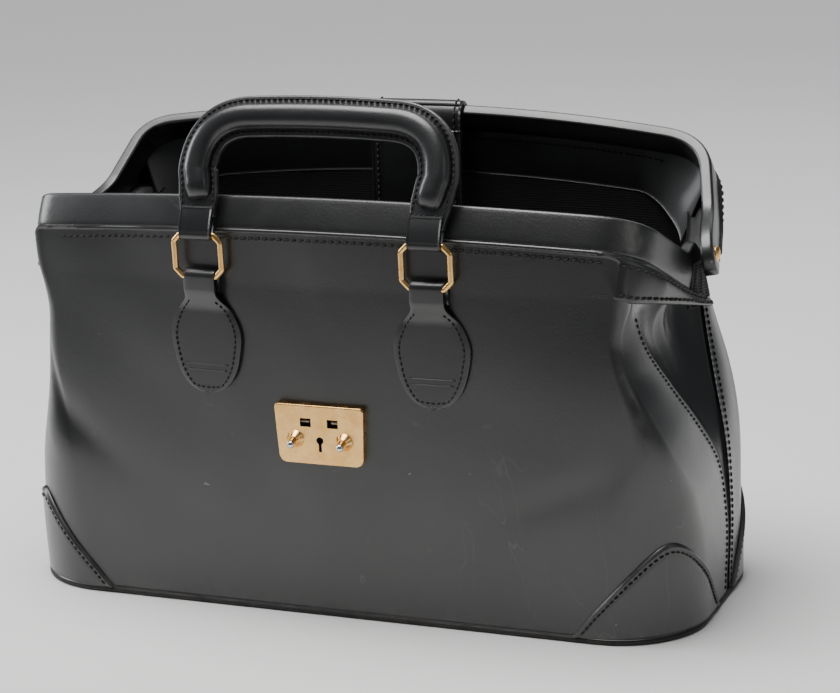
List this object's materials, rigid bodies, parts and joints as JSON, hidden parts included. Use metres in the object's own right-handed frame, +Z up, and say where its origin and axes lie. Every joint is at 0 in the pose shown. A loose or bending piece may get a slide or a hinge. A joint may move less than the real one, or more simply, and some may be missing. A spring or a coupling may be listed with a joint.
{
  "type": "doctor bag",
  "caption": "Black leather doctor bag with a hinged steel mouth, folding side walls, two ringed handles and a brass flap lock, modelled standing open.",
  "frame": {"origin": "middle of the underside, on the surface the bag stands on", "axes": "+X to the right along the bag's length, +Y to the back, +Z up"},
  "size_m": [0.4032, 0.2027, 0.29],
  "materials": {
    "leather": "smooth satin",
    "handle_leather": "smooth satin, stitched",
    "edge_leather": "worn edge",
    "lining": "fine ribbed cloth",
    "board": "pressed fibreboard",
    "webbing": "woven tape",
    "steel": "plain",
    "tip_metal": "polished",
    "brass": "polished, lightly worn"
  },
  "bodies": {
    "base": {"base_leather": "leather", "base_board": "board", "base_lining": "lining", "base_welt": "edge_leather", "side_wall_left": "leather", "side_wall_right": "leather", "corner_patch_front_left": "leather", "corner_patch_front_right": "leather", "corner_patch_rear_left": "leather", "corner_patch_rear_right": "leather", "front_panel_lower": "leather", "rear_panel_lower": "leather", "side_fold_left": "leather", "side_fold_right": "leather", "hinge_webbing_left": "webbing", "hinge_webbing_right": "webbing"},
    "front_side": {"front_panel": "leather", "front_lining": "lining", "lock_plate": "brass", "lock_backplate": "steel", "lock_studs": "steel", "chape_front_left": "leather", "chape_front_right": "leather"},
    "front_mouth": {"front_bar_cover": "leather", "front_bar_steel": "steel", "front_bar_hem": "leather", "front_rivets": "brass"},
    "rear_side": {"rear_panel": "leather", "rear_lining": "lining", "chape_rear_left": "leather", "chape_rear_right": "leather"},
    "rear_mouth": {"rear_bar_cover": "leather", "rear_bar_steel": "steel", "rear_bar_hem": "leather", "rear_rivets": "brass", "flap_root": "leather"},
    "flap_upper": {"flap_edge": "leather"},
    "flap_middle": {"flap_bridge": "leather"},
    "flap_lower": {"flap_tongue": "leather", "hasp_plate": "brass", "hasp_staples": "brass"},
    "front_rings": {"ring_front_left": "brass", "ring_front_right": "brass"},
    "front_handle": {"handle_strap_front": "handle_leather", "handle_core_front": "handle_leather"},
    "rear_rings": {"ring_rear_left": "brass", "ring_rear_right": "brass"},
    "rear_handle": {"handle_strap_rear": "handle_leather", "handle_core_rear": "handle_leather"},
    "lock_left": {"lock_knob_left": "brass", "lock_tip_left": "tip_metal", "lock_bolt_left": "steel"},
    "lock_right": {"lock_knob_right": "brass", "lock_tip_right": "tip_metal", "lock_bolt_right": "steel"}
  },
  "joints": [
    {"name": "front_fold", "type": "hinge", "parent": "base", "child": "front_side", "pos_m": [0, -0.04793, 0.04975], "axis": [-1, 0, 0], "range_deg": [0, 24], "deforming": ["side_fold_left", "side_fold_right", "hinge_webbing_left", "hinge_webbing_right"]},
    {"name": "rear_fold", "type": "hinge", "parent": "base", "child": "rear_side", "pos_m": [0, 0.13176, 0.07121], "axis": [1, 0, 0], "range_deg": [0, 20]},
    {"name": "front_mouth_tilt", "type": "hinge", "parent": "front_side", "child": "front_mouth", "pos_m": [0, -0.09593, 0.22131], "axis": [-1, 0, 0], "range_deg": [0, 40]},
    {"name": "rear_mouth_tilt", "type": "hinge", "parent": "rear_side", "child": "rear_mouth", "pos_m": [0, 0.08156, 0.25421], "axis": [1, 0, 0], "range_deg": [0, 23]},
    {"name": "flap_swing", "type": "hinge", "parent": "rear_mouth", "child": "flap_upper", "pos_m": [0, 0.06701, 0.26983], "axis": [-1, 0, 0], "range_deg": [0, 90]},
    {"name": "flap_level", "type": "hinge", "parent": "flap_upper", "child": "flap_middle", "pos_m": [0, 0.06019, 0.26252], "axis": [-1, 0, 0], "range_deg": [0, 43]},
    {"name": "flap_bend", "type": "hinge", "parent": "flap_middle", "child": "flap_lower", "pos_m": [0, 0.06019, 0.24065], "axis": [1, 0, 0], "range_deg": [0, 69.09]},
    {"name": "front_ring_swing", "type": "hinge", "parent": "front_side", "child": "front_rings", "pos_m": [0, -0.09877, 0.19412], "axis": [1, 0, 0], "range_deg": [0, 155]},
    {"name": "front_handle_swing", "type": "hinge", "parent": "front_rings", "child": "front_handle", "pos_m": [0, -0.10005, 0.21788], "axis": [1, 0, 0], "range_deg": [0, 43]},
    {"name": "rear_ring_swing", "type": "hinge", "parent": "rear_side", "child": "rear_rings", "pos_m": [0, 0.08612, 0.22725], "axis": [1, 0, 0], "range_deg": [0, 150]},
    {"name": "rear_handle_swing", "type": "hinge", "parent": "rear_rings", "child": "rear_handle", "pos_m": [0, 0.08966, 0.20371], "axis": [1, 0, 0], "range_deg": [0, 43]},
    {"name": "lock_slide_left", "type": "slide", "parent": "front_side", "child": "lock_left", "axis": [-1, 0, 0], "range_m": [0, 0.004], "stiffness_N_per_m": 150},
    {"name": "lock_slide_right", "type": "slide", "parent": "front_side", "child": "lock_right", "axis": [1, 0, 0], "range_m": [0, 0.004], "stiffness_N_per_m": 150}
  ],
  "couplings": [
    {"joint": "rear_fold", "follows": "front_fold", "ratio": 0.83333},
    {"joint": "front_mouth_tilt", "follows": "front_fold", "ratio": 1.6667},
    {"joint": "rear_mouth_tilt", "follows": "front_fold", "ratio": 0.95833},
    {"joint": "flap_level", "follows": "front_fold", "ratio": 1.7917},
    {"joint": "flap_bend", "follows": "flap_swing", "ratio": 0.76761}
  ]
}
